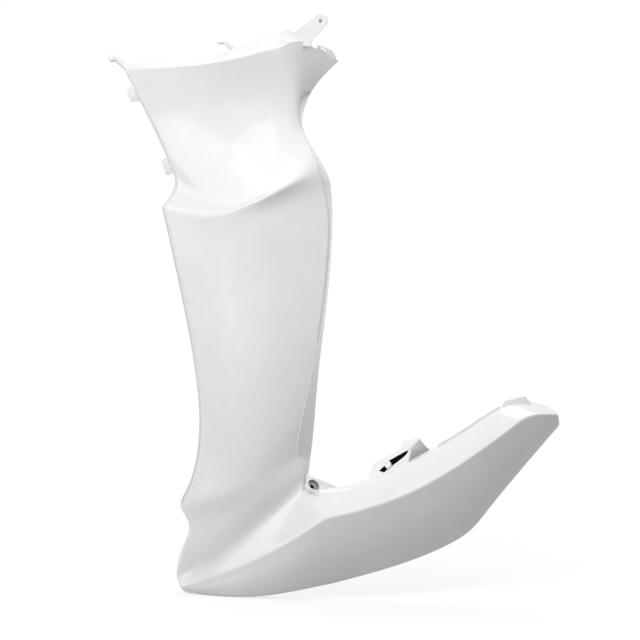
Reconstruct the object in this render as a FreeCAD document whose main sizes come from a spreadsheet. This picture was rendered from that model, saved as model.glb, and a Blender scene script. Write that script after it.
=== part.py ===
import FreeCAD, Part
import os
import Sketcher

V = FreeCAD.Vector

# Scooter side panel, left hand: one moulded shell with its fixings, in millimetres.
# -X is the front of the scooter, -Y outboard, +Z up; the origin is the floor screw hole.

SIZES = {
    # Main lengths, all from the floor screw: up to the wing's rear corner, forward to its front corner,
    # back to the foot's tip and down to the toe's sill.
    "leg_height": 542,
    "front_reach": 227,
    "foot_reach": 301,
    "toe_drop": 138,
    # Wall, rolled edges and returns of the moulding.
    "wall": 2.5,
    "edge_roll": 3.5,
    "front_return": 13,
    "front_flare": 3,
    "sill_return": 14,
    "seat_return": 12,
    "return_rise": 1,
    "lip_rise_front": 3,
    "lip_rise_rear": 22,
    "lip_rise_power": 4,
    "lip_run": 12,
    "ridge_roll": 6,
    "band_bulge": 1.5,
    "belly": 5,
    "valley_round": 14,
    # Where along a section its sag and its crown are greatest.
    "sag_at": 0.45,
    "wing_top_sag_at": 0.58,
    "crown_at": 0.5,
    "ankle_crown_at": 0.58,
    "heel_top_crown_at": 0.6,
    "instep_crown_at": 0.6,
    # Floor screw: lug, cup, recess and sleeved bore.
    "screw_radius": 2.75,
    "screw_boss": 18,
    "boss_radius": 5.5,
    "recess_radius": 7.5,
    "recess_depth": 4,
    "cup_floor": 3,
    "cup_radius": 9.8,
    "cup_collar": 0.6,
    "lug_wall": 3,
    "lug_tilt": 41,
    "lug_yaw": 40,
    # Arm and eyelet at the end of the lip.
    "arm_wall": 4,
    "arm_inset": 9,
    "arm_yaw": 12,
    "eyelet_radius": 8,
    "eyelet_bore": 2.3,
    "eyelet_sleeve": 18,
    "sleeve_radius": 5,
    "eyelet_u": 30,
    "eyelet_v": 20,
    # Tabs and hooks of the wing.
    "tab_wall": 3,
    "tab_round": 2,
    "hook_inset": 2.6,
    "hook_sweep": 60,
    "hook_lean": 40,
    "hook_ball": 1.18,
    "hook_front_bar": 14,
    "hook_front_thick": 3.9,
    "hook_front_bend": 6,
    "hook_top_bar": 19,
    "hook_top_thick": 2.8,
    "hook_top_bend": 8,
    "hook_top_u": 68,
    "hook_top_v": 19,
    # Slotted bracket over the seat line, with its pin and gusset.
    "bracket_wall": 3,
    "bracket_back": 14,
    "bracket_inset": 4,
    "bracket_sink": 8,
    "bracket_tilt": 40,
    "pin_radius": 4.2,
    "pin_height": 4,
    "pin_u": 35,
    "pin_v": 10.2,
    "slot_depth": 14,
    "box_floor": 2,
    "gusset_wall": 3,
    "gusset_yaw": 32,
    "gusset_tilt": 19.3,
    "gusset_root_u": 69,
    "gusset_root_v": 14.3,
    # Seat rail, rear tongue, spring clip and the ribs behind the skin.
    "rail_wall": 2.5,
    "rail_height": 3.5,
    "rail_inset": 3.5,
    "rail_start": 2.4,
    "rail_end": 4.05,
    "tongue_wall": 4,
    "tongue_inset": 7,
    "clip_wall": 3,
    "rib_wall": 1.8,
    "rib_height": 9,
}

doc = FreeCAD.newDocument("side_panel")
sheet = doc.addObject("Spreadsheet::Sheet", "sizes")
aliases = []


def size(alias, value):
    """One named size in the sheet."""
    aliases.append(alias)
    cell = "B%d" % len(aliases)
    sheet.set("A%d" % len(aliases), alias)
    sheet.set(cell, str(value))
    sheet.setAlias(cell, alias)


def table(columns, rows):
    """A table of offsets: one row per station, one named size per column."""
    for station, values in rows:
        for column, value in zip(columns, values):
            size(station + "_" + column, value)


# The main lengths at which the stations below are drawn.
DRAWN_LEG, DRAWN_FRONT, DRAWN_FOOT, DRAWN_TOE = 542, 227, 301, 138


def carried(column, value):
    """A drawn coordinate carried to the set main lengths."""
    if column.endswith("x"):
        return value * (SIZES["foot_reach"] / DRAWN_FOOT if value > 0 else SIZES["front_reach"] / DRAWN_FRONT)
    if column.endswith("z"):
        return value * (SIZES["leg_height"] / DRAWN_LEG if value > 0 else SIZES["toe_drop"] / DRAWN_TOE)
    return value


def stations(columns, rows):
    """A table of skin points, carried to the set main lengths."""
    for station, values in rows:
        table(columns, [(station, [carried(column, value) for column, value in zip(columns, values)])])


for alias, value in SIZES.items():
    size(alias, value)

# Sections across the wing and the leg, from the top crease down to the valley over the toe:
# front edge point, rear edge point, sideways and inward run of the rear return.
SECTION = ("fx", "fy", "fz", "rx", "ry", "rz", "flare", "back")
UPPER = [
    ("wing_top", (-227, 42, 506, -19, -20, 542, 51, 40)),
    ("wing_high", (-207.5, 42, 467, -16, -12, 496, 23, 34)),
    ("wing_mid", (-186, 40, 427, -18, -6, 464, 8, 32)),
    ("wing_low", (-172, 38, 392, -13, -7, 432, -1, 30)),
    ("ridge", (-160, 36, 365, 6, -22, 403, 1, 30)),
    ("brow", (-169, 32, 351, 10, -26, 379, 12, 26)),
    ("undercut", (-180, 28, 337, 17, -21, 359, 6, 26)),
    ("thigh", (-173, 32, 313, 23, -20, 321, 3, 25)),
    ("knee", (-156, 26, 228, 16, -20, 234, 4, 25)),
    ("shin", (-139, 17, 141, 1, -18, 143, 6, 24)),
    ("ankle", (-132, 12, 62, -17, -8, 64, 19, 20)),
    ("heel_top", (-146, 13, -7, -19, 0, 40, 17, 15)),
    ("heel", (-167, 22, -31, -14, 2, 32, 11, 12)),
    ("instep", (-142, 15, -51, -10, 2, 23, 7, 11)),
    ("toe_top", (-160, 22, -88, -9, 3, 13, 4, 12)),
    ("valley_top", (-165, 25, -106, -9, 4, 4, 3, 12)),
    ("valley", (-167, 28, -120, -9, 1, -4, 2, 12)),
]
stations(SECTION, UPPER)

# Outward crown of the sections. Around the ridge it is set point by point, with the fall of the section,
# so that the brow overhangs the leg towards the rear and fades out towards the front; above the toe too,
# so that the base runs smoothly down to the valley.
table(("crown",), [
    ("wing_top", (9,)), ("wing_high", (5,)), ("wing_mid", (3,)), ("thigh", (20,)), ("knee", (18,)),
    ("shin", (16,)), ("ankle", (16,)), ("heel_top", (17,)), ("instep", (15,)),
])
table(("out1", "out2", "out3", "out4", "out5"), [
    ("wing_low", (4.5, 13.4, 22.5, 23.6, 15.5)), ("ridge", (5.6, 16.8, 27, 27.2, 15.8)),
    ("brow", (4.2, 14.8, 24.5, 25, 14)), ("undercut", (3.1, 12.3, 17, 12, 5.5)),
    ("heel", (8, 15.4, 20.5, 17.9, 9.3)), ("toe_top", (4, 10.5, 14, 13.4, 6.9)),
    ("valley_top", (6, 13, 16, 13, 6)),
])
table(("fall1", "fall2", "fall3", "fall4", "fall5"), [
    ("wing_low", (17, 44, 47, 37, 25)), ("ridge", (15, 37, 39, 29, 15)),
    ("brow", (6.8, 25, 23, 11, -3.7)), ("undercut", (3.2, 18, 16, 5, -6)),
])

# Downward sag of the other curved sections, how far the rear return drops, and the larger edge rolls.
table(("sag",), [
    ("wing_top", (12,)), ("wing_high", (7,)), ("wing_mid", (6,)), ("thigh", (4,)), ("heel_top", (3,)),
    ("heel", (4,)), ("instep", (3,)), ("toe_top", (3,)), ("valley_top", (2,)), ("valley", (2,)),
])
table(("drop",), [
    ("wing_top", (28,)), ("wing_high", (4,)), ("brow", (4,)), ("heel_top", (5,)), ("heel", (4,)),
])
table(("rear_roll",), [("wing_top", (17,)), ("wing_high", (16,)), ("wing_mid", (9,)), ("wing_low", (4.5,))])
table(("front_roll",), [("thigh", (6,)), ("knee", (8,)), ("shin", (8,)), ("ankle", (8,)), ("heel_top", (5,))])

# Toe part of the foot: the ridge line and the sill line from the toe to the band crease.
TOE_LINE = ("fx", "fy", "fz", "crown", "sag")
stations(TOE_LINE, [("toe_ridge", (-163, 19, -131, 3, 13)), ("toe_sill", (-157, 23, -138, 7, 10))])

# Foot behind the band crease: seat line, ridge line and sill line, from the crease to the tip.
STATIONS = 8
stations(("x", "y", "z"), [
    ("crease", (-11, -10, -14)),
    ("seat1", (27, -13.5, -6)), ("seat2", (80, -13, 11)), ("seat3", (131, -11, 37)), ("seat4", (185, -7, 68)),
    ("seat5", (226, -4, 98)), ("seat6", (252, 0, 105)), ("seat7", (281, 4, 98)),
    ("crest0", (17, -40, -30)), ("crest1", (45, -44, -23)), ("crest2", (95, -46, -9)),
    ("crest3", (150, -46, 19)), ("crest4", (205, -41, 55)), ("crest5", (247, -34, 86)),
    ("crest6", (264, -28, 97)), ("crest7", (297, -14, 91)),
    ("sill0", (25, -2, -120)), ("sill1", (75, -2, -107)), ("sill2", (130, -1, -90)),
    ("sill3", (180, 0, -67)), ("sill4", (199, 1, -52)), ("sill5", (214, 2, -31)),
    ("sill6", (258, 4, 23)), ("sill7", (301, 6, 74)),
])

# Outlines of the fixings, each drawn from the skin point beside it.
table(("u", "v"), [
    ("lug1", (-7, -4)), ("lug2", (-7, 6)), ("lug3", (-2, 16)), ("lug4", (15.4, 4)), ("lug5", (33.7, -9.1)),
    ("lug6", (43.7, -14.3)), ("lug7", (16.5, -24)), ("lug8", (-1, -18)),
])
table(("u", "v"), [
    ("arm1", (-34, -6)), ("arm2", (-13, 11)), ("arm3", (-2, 6)), ("arm4", (24, 25.5)), ("arm5", (34.5, 13.5)),
    ("arm6", (26, 4)), ("arm7", (20, -1)), ("arm8", (17, -10)), ("arm9", (4, -9)),
])
table(("u", "v"), [
    ("tabhigh1", (-10, 18)), ("tabhigh2", (-17.5, 12)), ("tabhigh3", (-12, -3)), ("tabhigh4", (5, -2)),
    ("tabhigh5", (-1, 18)),
    ("tablow1", (-3, 9)), ("tablow2", (-11, 0.5)), ("tablow3", (-5, -17)), ("tablow4", (10, -13)),
    ("tablow5", (4, 7)),
])
table(("u", "v"), [
    ("bracket1", (-3, -5)), ("bracket2", (3.2, 5.5)), ("bracket3", (19.7, 21.9)), ("bracket4", (57.3, 22.3)),
    ("bracket5", (65.4, 30.7)), ("bracket6", (82.8, 23.4)), ("bracket7", (69, 14.3)),
    ("bracket8", (59.9, 4.2)), ("bracket9", (55, -8)),
    ("slot1", (21.7, 9.8)), ("slot2", (29.1, 12.2)), ("slot3", (39.8, 15.9)), ("slot4", (63.4, 16.2)),
    ("slot5", (65, 14.5)), ("slot6", (58.1, 10.8)), ("slot7", (41.5, 7.7)), ("slot8", (26.2, 4.6)),
    ("box1", (16.3, 10)), ("box2", (30.5, 16.8)), ("box3", (63, 21.2)), ("box4", (68.5, 13.5)),
    ("box5", (58, 4.6)), ("box6", (24.8, 1.6)),
    ("gusset1", (-2, 1)), ("gusset2", (8.5, 13.5)), ("gusset3", (22.5, 0.1)), ("gusset4", (31.7, -7.2)),
    ("gusset5", (5.9, -23.8)), ("gusset6", (-1.4, -14.5)),
])
table(("u", "v"), [
    ("tongue1", (4, -3)), ("tongue2", (7, 7)), ("tongue3", (32, 13)), ("tongue4", (41, 2)),
    ("tongue5", (41, -3)),
])
table(("u", "v"), [
    ("clip1", (-27, 13)), ("clip2", (-25, 19)), ("clip3", (-8, 12.5)), ("clip4", (-2.5, 3.5)),
    ("clip5", (-6, -1)),
    ("clipslot1", (-23, 15.5)), ("clipslot2", (-22.5, 17)), ("clipslot3", (-14.5, 13)),
    ("clipslot4", (-15, 11.5)),
])

# Where the ribs stand, along the skin.
table(("at",), [
    ("rib_wing", (1.2,)), ("rib_thigh", (6.6,)), ("rib_knee", (7.5,)), ("rib_shin", (8.5,)),
    ("rib_foot1", (0.9,)), ("rib_foot2", (2.0,)), ("rib_foot3", (3.0,)),
])
doc.recompute()


def val(alias):
    return float(sheet.get(alias))


def val_or(alias, default):
    return val(alias) if alias in aliases else default


def point(name):
    return V(val(name + "_x"), val(name + "_y"), val(name + "_z"))


def hump(s, at):
    """Rises from 0 at both ends to 1 at the fraction AT."""
    if s <= 0 or s >= 1:
        return 0.0
    return (s / at) ** (2.4 * at) * ((1 - s) / (1 - at)) ** (2.4 * (1 - at))


# Control points of the skin, shared by number between neighbouring patches.
points = []


def new_id(p):
    points.append(V(p))
    return len(points) - 1


SPREAD = [0.0, 0.1, 0.28, 0.5, 0.72, 0.9, 1.0]


def bowed(name, start, end):
    """Control points of a line bowed outward by its crown and downward by its sag."""
    crown = val_or(name + "_crown", 0.0)
    crown_at = val_or(name + "_crown_at", val("crown_at"))
    sag = val_or(name + "_sag", 0.0)
    sag_at = val_or(name + "_sag_at", val("sag_at"))
    row = []
    for i, s in enumerate(SPREAD):
        p = start + (end - start) * s
        out = val_or("%s_out%d" % (name, i), crown * hump(s, crown_at))
        fall = val_or("%s_fall%d" % (name, i), sag * hump(s, sag_at))
        row.append(p - V(0, out, fall))
    return row


upper = []
rear_run = []
for station, _ in UPPER:
    a = {column: val(station + "_" + column) for column in SECTION}
    row = bowed(station, V(a["fx"], a["fy"], a["fz"]), V(a["rx"], a["ry"], a["rz"]))
    upper.append([new_id(p) for p in row])
    rear_run.append(V(a["flare"], a["back"], -val_or(station + "_drop", 0.0)))


def toe_line(name, end):
    return bowed(name, V(val(name + "_fx"), val(name + "_fy"), val(name + "_fz")), end)


def foot_column(top, crest, sill):
    """Control points from the seat line over the rolled ridge and down the belly to the sill."""
    up = top - crest
    down = sill - crest
    out = (sill - top).cross(V(1, 0, 0)).normalize()
    reach_up = min(val("ridge_roll"), up.Length * 0.4)
    reach_down = min(val("ridge_roll"), down.Length * 0.25)
    belly = out * (val("belly") * min(1.0, down.Length / 60.0))
    return [
        (top + crest) * 0.5 + out * val("band_bulge"),
        crest + V(up).normalize() * reach_up,
        crest,
        crest + V(down).normalize() * reach_down,
        crest + down * 0.4 + belly,
        crest + down * 0.72 + belly * 0.8,
        sill,
    ]


toe_crest = toe_line("toe_ridge", point("crest0"))
toe_sill = toe_line("toe_sill", point("sill0"))
toe = [list(upper[-1])] + [[] for _ in range(7)]
for j in range(len(SPREAD)):
    for i, p in enumerate(foot_column(points[upper[-1][j]], toe_crest[j], toe_sill[j])):
        toe[i + 1].append(new_id(p))
points[toe[1][-1]] = point("crease")

# The valley over the toe is filleted: its row and the rows beside it come to lie on one line.
EASE = [0, 0.4, 0.6, 0.7, 0.6, 0.4, 0]
for j in range(1, len(SPREAD) - 1):
    above, low, below = upper[-2][j], upper[-1][j], toe[1][j]
    up = (points[above] - points[low]).normalize() * (val("valley_round") * EASE[j])
    down = (points[below] - points[low]).normalize() * (val("valley_round") * EASE[j])
    points[above] = points[low] + up
    points[below] = points[low] + down
    points[low] = points[low] + (up + down) * 0.5

foot = [[toe[i][-1]] for i in range(8)]
for j in range(1, STATIONS):
    top = point("seat%d" % j)
    foot[0].append(new_id(top))
    for i, p in enumerate(foot_column(top, point("crest%d" % j), point("sill%d" % j))):
        foot[i + 1].append(new_id(p))


def column_of(net, j):
    return [row[j] for row in net]


# Free edges of the skin, each with the control points beside it: they roll over and run back as returns.
edges = {
    "lip": (upper[0], upper[1]),
    "rear": (column_of(upper, -1), column_of(upper, -2)),
    "seat": (foot[0], foot[1]),
    "tip": (column_of(foot, -1), column_of(foot, -2)),
    "sill": (foot[-1], foot[-2]),
    "toe_sill": (toe[-1], toe[-2]),
    "toe": (column_of(toe, 0), column_of(toe, 1)),
    "front": (column_of(upper, 0), column_of(upper, 1)),
}


def run_back(edge, i, count):
    """The way and length that a return runs at one of its control points."""
    if edge == "lip":
        part = (i / (count - 2.0)) ** val("lip_rise_power")
        rise = val("lip_rise_front") + (val("lip_rise_rear") - val("lip_rise_front")) * part
        return V(0, val("lip_run"), rise)
    if edge == "rear":
        return rear_run[i]
    if edge == "seat":
        return V(0, val("seat_return"), val("return_rise"))
    if edge == "front":
        return V(-val("front_flare"), val("front_return"), 0)
    return V(0, val("sill_return"), val("return_rise"))


def roll_of(edge, i):
    """The radius at which an edge rolls over at one of its control points."""
    if edge in ("front", "rear"):
        return val_or("%s_%s_roll" % (UPPER[i][0], edge), val("edge_roll"))
    return val("edge_roll")


outward = {}
run = {}
roll = {}
for edge, (line, inside) in edges.items():
    for i, (k, m) in enumerate(zip(line, inside)):
        outward.setdefault(k, []).append((points[k] - points[m]).normalize() * roll_of(edge, i))
        if edge != "lip" or i < len(line) - 1:
            run.setdefault(k, []).append(run_back(edge, i, len(line)))
            roll.setdefault(k, []).append(roll_of(edge, i))

corner, roll_end, return_end = {}, {}, {}
for k, ways in outward.items():
    back = sum(run[k], V()) * (1.0 / len(run[k]))
    c = V(points[k])
    points[k] = c - sum(ways, V())
    corner[k] = new_id(c)
    roll_end[k] = new_id(c + V(back).normalize() * (sum(roll[k]) / len(roll[k])))
    return_end[k] = new_id(c + back)

# Patches of control points: rows run downward, columns rearward, so that normals point outboard.
nets = {"upper": upper, "toe_face": toe, "foot_face": foot}
rims = []
for edge, (line, _) in edges.items():
    strip = [list(line)] + [[ids[k] for k in line] for ids in (corner, roll_end, return_end)]
    rolled, straight = strip[:3], strip[2:]
    if edge in ("lip", "seat", "toe", "front"):
        rolled.reverse()
        straight.reverse()
    if edge in ("rear", "tip", "toe", "front"):
        rolled = [list(ids) for ids in zip(*rolled)]
        straight = [list(ids) for ids in zip(*straight)]
    nets[edge + "_roll"] = rolled
    nets[edge + "_run"] = straight
    rims.append(strip[3])

facets = {}
for net in nets.values():
    for i in range(len(net) - 1):
        for j in range(len(net[0]) - 1):
            ids = (net[i][j], net[i + 1][j], net[i + 1][j + 1], net[i][j + 1])
            a, b, c, d = (points[k] for k in ids)
            n = (c - a).cross(d - b).normalize()
            for k in ids:
                facets.setdefault(k, []).append(n)


def inward(k):
    """The step that brings a control point one wall inside every facet around it, by least squares."""
    steady = 0.03
    rows = [[steady, 0, 0], [0, steady, 0], [0, 0, steady]]
    for n in facets[k]:
        for i in range(3):
            for j in range(3):
                rows[i][j] += n[i] * n[j]
    p, q, r = (V(*row) for row in rows)
    aim = sum(facets[k], V()) * (1 + steady / len(facets[k]))
    step = q.cross(r) * aim.x + r.cross(p) * aim.y + p.cross(q) * aim.z
    return step * (-val("wall") / p.dot(q.cross(r)))


inner = [p + inward(k) for k, p in enumerate(points)]


def patch(grid):
    """Clamped B-spline surface on a grid of control points."""
    degrees, knots, mults = [], [], []
    for count in (len(grid), len(grid[0])):
        degree = min(3, count - 1)
        degrees.append(degree)
        knots.append([float(i) for i in range(count - degree + 1)])
        mults.append([degree + 1] + [1] * (count - degree - 1) + [degree + 1])
    surface = Part.BSplineSurface()
    surface.buildFromPolesMultsKnots(
        grid, mults[0], mults[1], knots[0], knots[1], False, False, degrees[0], degrees[1])
    return surface


def net_patch(side, net):
    return patch([[side[k] for k in row] for row in net])


faces = [net_patch(side, net).toShape() for net in nets.values() for side in (points, inner)]
faces += [patch([[points[k] for k in e], [inner[k] for k in e]]).toShape() for e in rims]
closed = Part.makeCompound(faces)
closed.sewShape(0.01)
solid = Part.makeSolid(closed.Shells[0])
if solid.Volume < 0:
    solid.reverse()
skin = doc.addObject("Part::Feature", "skin")
skin.Shape = solid


def rib(name, surface, along_u, way):
    """A thin web standing inward from a line on the inner skin."""
    at = val(name + "_at")
    line = (surface.uIso(at) if along_u else surface.vIso(at)).toShape()
    bite = val("wall") * 0.5
    line.translate(V(0, -bite, 0) - way * (val("rib_wall") * 0.5))
    feature = doc.addObject("Part::Feature", name)
    feature.Shape = line.extrude(V(0, val("rib_height") + bite, 0)).extrude(way * val("rib_wall"))
    return feature


upper_inside = net_patch(inner, upper)
foot_inside = net_patch(inner, foot)
pieces = []
for name in ("rib_wing", "rib_thigh", "rib_knee", "rib_shin"):
    pieces.append(rib(name, upper_inside, True, V(0, 0, 1)))
for name in ("rib_foot1", "rib_foot2", "rib_foot3"):
    pieces.append(rib(name, foot_inside, False, V(1, 0, 0)))


def bind(thing, **expressions):
    for prop, expression in expressions.items():
        thing.setExpression(prop, expression)
    return thing


def place(thing, x, y, z, rotation=None):
    """Puts an object at bound coordinates, turned by a fixed rotation."""
    if rotation:
        thing.Placement = FreeCAD.Placement(V(), rotation)
    for axis, expression in zip("xyz", (x, y, z)):
        thing.setExpression("Placement.Base." + axis, expression)
    return thing


def outline(body, name, prefix, count):
    """Sketch of a closed polygon in the body's XZ plane, every corner bound to the sheet."""
    sketch = body.newObject("Sketcher::SketchObject", name)
    plane = [o for o in body.Origin.OriginFeatures if o.Role == "XZ_Plane"][0]
    sketch.AttachmentSupport = [(plane, "")]
    sketch.MapMode = "FlatFace"
    at = [V(val("%s%d_u" % (prefix, i + 1)), val("%s%d_v" % (prefix, i + 1)), 0) for i in range(count)]
    for i in range(count):
        sketch.addGeometry(Part.LineSegment(at[i], at[(i + 1) % count]), False)
    for i in range(count):
        sketch.addConstraint(Sketcher.Constraint("Coincident", i, 2, (i + 1) % count, 1))
        for kind, way in (("DistanceX", "u"), ("DistanceY", "v")):
            value = at[i].x if way == "u" else at[i].y
            index = sketch.addConstraint(Sketcher.Constraint(kind, -1, 1, i, 1, value))
            sketch.setExpression("Constraints[%d]" % index, "sizes.%s%d_%s" % (prefix, i + 1, way))
    return sketch


def plate(name, count, wall, rounded=None):
    """Flat moulded plate: a padded polygon, running inboard from its body's XZ plane."""
    body = doc.addObject("PartDesign::Body", name)
    pad = body.newObject("PartDesign::Pad", name + "_pad")
    pad.Profile = outline(body, name + "_outline", name, count)
    pad.Reversed = True
    bind(pad, Length="sizes." + wall)
    if rounded:
        doc.recompute()
        upright = ["Edge%d" % (i + 1) for i, e in enumerate(pad.Shape.Edges)
                   if abs(e.tangentAt(e.FirstParameter).y) > 0.99]
        fillet = body.newObject("PartDesign::Fillet", name + "_fillet")
        fillet.Base = (pad, upright)
        bind(fillet, Radius="sizes." + rounded)
    return body


def pocket(body, name, count):
    """Opening cut right through a plate."""
    cut = body.newObject("PartDesign::Pocket", name + "_pocket")
    cut.Profile = outline(body, name + "_outline", name, count)
    cut.Type = "ThroughAll"
    cut.Midplane = True
    return cut


def primitive(kind, name, **expressions):
    return bind(doc.addObject("Part::" + kind, name), **expressions)


def fused(name, solids):
    whole = doc.addObject("Part::MultiFuse", name)
    whole.Shapes = solids
    whole.Refine = False
    return whole


def opened(solid, *tools):
    """A solid with each of its openings cut in turn."""
    for tool in tools:
        cut = doc.addObject("Part::Cut", "%s_%s" % (solid.Name, tool.Name))
        cut.Base = solid
        cut.Tool = tool
        solid = cut
    return solid


# Floor screw: a lug between the leg and the seat, facing up and back, with a recessed cup for the screw head.
turned = FreeCAD.Rotation(V(0, 0, 1), val("lug_yaw"))
tilt = turned.multiply(FreeCAD.Rotation(V(1, 0, 0), -val("lug_tilt")))
inboard = turned.multiply(FreeCAD.Rotation(V(1, 0, 0), -90 - val("lug_tilt")))
OUT_OF_LUG = (
    "sin(sizes.lug_yaw) * cos(sizes.lug_tilt)",
    "-cos(sizes.lug_yaw) * cos(sizes.lug_tilt)",
    "sin(sizes.lug_tilt)",
)


def before_mouth(thing, distance, turn):
    """Places a piece of the lug on the screw's axis, a bound distance in front of the bore's mouth."""
    return place(thing, *["(%s) * (%s)" % (distance, way) for way in OUT_OF_LUG], turn)


lug = plate("lug", 8, "lug_wall")
before_mouth(lug, "sizes.recess_depth", tilt)
cup = primitive("Cylinder", "cup", Radius="sizes.cup_radius",
                Height="sizes.recess_depth + sizes.cup_collar + sizes.cup_floor")
before_mouth(cup, "sizes.recess_depth + sizes.cup_collar", inboard)
boss = primitive("Cylinder", "screw_boss", Radius="sizes.boss_radius", Height="sizes.screw_boss")
before_mouth(boss, "0", inboard)
recess = primitive("Cylinder", "recess", Radius="sizes.recess_radius", Height="sizes.recess_depth * 3")
before_mouth(recess, "sizes.recess_depth * 3", inboard)
bore = primitive("Cylinder", "screw_bore", Radius="sizes.screw_radius",
                 Height="sizes.screw_boss + 2 * sizes.recess_depth")
before_mouth(bore, "sizes.recess_depth", inboard)
pieces.insert(0, opened(skin, recess, bore))
pieces.append(opened(fused("screw_lug", [lug, cup, boss]), recess, bore))

# Upper fixing: an arm that carries the line of the lip on to a sleeved screw eyelet.
yaw = FreeCAD.Rotation(V(0, 0, 1), -val("arm_yaw"))
arm_root = ("sizes.wing_top_rx", "sizes.wing_top_ry + sizes.arm_inset", "sizes.wing_top_rz")


def on_arm(thing, u, w, v, turn):
    """Places a piece of the arm in the plate's own plane."""
    way = yaw.multVec(V(u, w, v))
    return place(thing, *["%s + %f" % pair for pair in zip(arm_root, way)], turn)


arm = plate("arm", 9, "arm_wall")
place(arm, *arm_root, yaw)
bore_way = FreeCAD.Rotation(V(0, 0, 1), yaw.multVec(V(0, 1, 0)))
eyelet = primitive("Cylinder", "eyelet", Radius="sizes.eyelet_radius", Height="sizes.arm_wall")
on_arm(eyelet, val("eyelet_u"), 0, val("eyelet_v"), bore_way)
sleeve = primitive("Cylinder", "sleeve", Radius="sizes.sleeve_radius", Height="sizes.eyelet_sleeve")
on_arm(sleeve, val("eyelet_u"), 0, val("eyelet_v"), bore_way)
eyelet_hole = primitive("Cylinder", "eyelet_hole", Radius="sizes.eyelet_bore",
                        Height="sizes.eyelet_sleeve + 2 * sizes.arm_wall")
on_arm(eyelet_hole, val("eyelet_u"), -val("arm_wall"), val("eyelet_v"), bore_way)
pieces.append(opened(fused("eyelet_arm", [arm, eyelet, sleeve]), eyelet_hole))

# Locating tabs on the front return of the wing.
for name, station in (("tabhigh", "wing_high"), ("tablow", "wing_low")):
    tab = plate(name, 5, "tab_wall", "tab_round")
    place(tab, "sizes.%s_fx" % station, "sizes.%s_fy + sizes.front_return - sizes.tab_wall" % station,
          "sizes.%s_fz" % station)
    pieces.append(tab)


def hook(name, x, y, z):
    """Cane-shaped hook: a round bar, a bend and a ball end, bent towards the front."""
    bar, thick, bend = ("sizes.%s_%s" % (name, part) for part in ("bar", "thick", "bend"))
    straight = primitive("Cylinder", name + "_straight", Radius=thick, Height=bar)
    straight.Placement = FreeCAD.Placement(V(), FreeCAD.Rotation(V(0, 1, 0), 90))
    elbow = primitive("Torus", name + "_elbow", Radius1=bend, Radius2=thick, Angle3="sizes.hook_sweep")
    place(elbow, bar, bend, "0", FreeCAD.Rotation(V(0, 0, 1), -90))
    ball = primitive("Sphere", name + "_end", Radius=thick + " * sizes.hook_ball")
    place(ball, "%s + %s * sin(sizes.hook_sweep)" % (bar, bend),
          "%s * (1 - cos(sizes.hook_sweep))" % bend, "0")
    whole = fused(name, [straight, elbow, ball])
    lean = FreeCAD.Rotation(V(0, 1, 0), val("hook_lean"))
    turn = FreeCAD.Rotation(lean.multVec(V(-1, 0, 0)), V(), V(0, -1, 0), "ZXY")
    place(whole, x, y, z, turn)
    pieces.append(whole)


hook("hook_front", "sizes.wing_top_fx + sizes.hook_inset",
     "sizes.wing_top_fy + sizes.lip_run - sizes.hook_inset", "sizes.wing_top_fz")
hook("hook_top", "sizes.wing_top_rx - sizes.hook_top_u",
     "(sizes.wing_top_fy + 3 * sizes.wing_top_ry) / 4 + sizes.lip_run",
     "sizes.wing_top_rz - sizes.hook_top_v")

# Bracket over the seat line: a slotted plate leaning inboard, with a locating pin and a gusset.
along = (point("seat4") - point("seat2")).normalize()
lean = V(0, 1, 0).cross(along).normalize() * -1
over = FreeCAD.Rotation(along, -val("bracket_tilt")).multVec(lean)
stand = FreeCAD.Rotation(along, V(), over, "XZY")
spot = ("sizes.seat2_x - sizes.bracket_back", "sizes.seat2_y + sizes.bracket_inset",
        "sizes.seat2_z - sizes.bracket_sink")


def on_bracket(thing, u, w, v, turn):
    """Places a piece of the bracket in the plate's own plane."""
    way = stand.multVec(V(u, w, v))
    return place(thing, *["%s + %f" % pair for pair in zip(spot, way)], turn)


bracket = plate("bracket", 9, "bracket_wall")
place(bracket, *spot, stand)
box = plate("box", 6, "slot_depth + sizes.box_floor")
place(box, *spot, stand)
slot = plate("slot", 8, "slot_depth")
place(slot, *spot, stand)
folded = FreeCAD.Rotation(V(0, 0, 1), val("gusset_yaw")).multiply(
    FreeCAD.Rotation(V(1, 0, 0), val("gusset_tilt")))
gusset = plate("gusset", 6, "gusset_wall")
on_bracket(gusset, val("gusset_root_u"), 0, val("gusset_root_v"), folded)
pin = primitive("Cylinder", "pin", Radius="sizes.pin_radius",
                Height="sizes.pin_height + sizes.slot_depth + sizes.box_floor / 2")
on_bracket(pin, val("pin_u"), val("slot_depth") + val("box_floor") / 2, val("pin_v"),
           FreeCAD.Rotation(V(0, 0, 1), stand.multVec(V(0, -1, 0))))
slotted = opened(fused("slotted_plate", [bracket, box]), slot)
pieces.append(fused("seat_bracket", [slotted, gusset, pin]))

# Rail along the rear half of the seat line, with the rear tongue on its end.
poles = [points[corner[k]] for k in foot[0]]
spans = len(poles) - 3
seat_line = Part.BSplineCurve()
seat_line.buildFromPolesMultsKnots(poles, [4] + [1] * (spans - 1) + [4], list(range(spans + 1)), False, 3)
rail_line = seat_line.toShape(val("rail_start"), val("rail_end"))
rail_line.translate(V(0, val("rail_inset"), -val("wall")))
rail = doc.addObject("Part::Feature", "rail")
rail.Shape = rail_line.extrude(V(0, 0, val("wall") + val("rail_height"))).extrude(V(0, val("rail_wall"), 0))
pieces.append(rail)
tongue = plate("tongue", 5, "tongue_wall")
place(tongue, "sizes.seat5_x", "sizes.seat5_y + sizes.tongue_inset", "sizes.seat5_z")
pieces.append(tongue)

# Spring clip behind the rear corner of the wing.
clip = plate("clip", 5, "clip_wall")
pocket(clip, "clipslot", 4)
place(clip, "sizes.wing_top_rx + sizes.wing_top_flare",
      "sizes.wing_top_ry + sizes.wing_top_back - sizes.clip_wall", "sizes.wing_top_rz - sizes.wing_top_drop")
pieces.append(clip)

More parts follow.
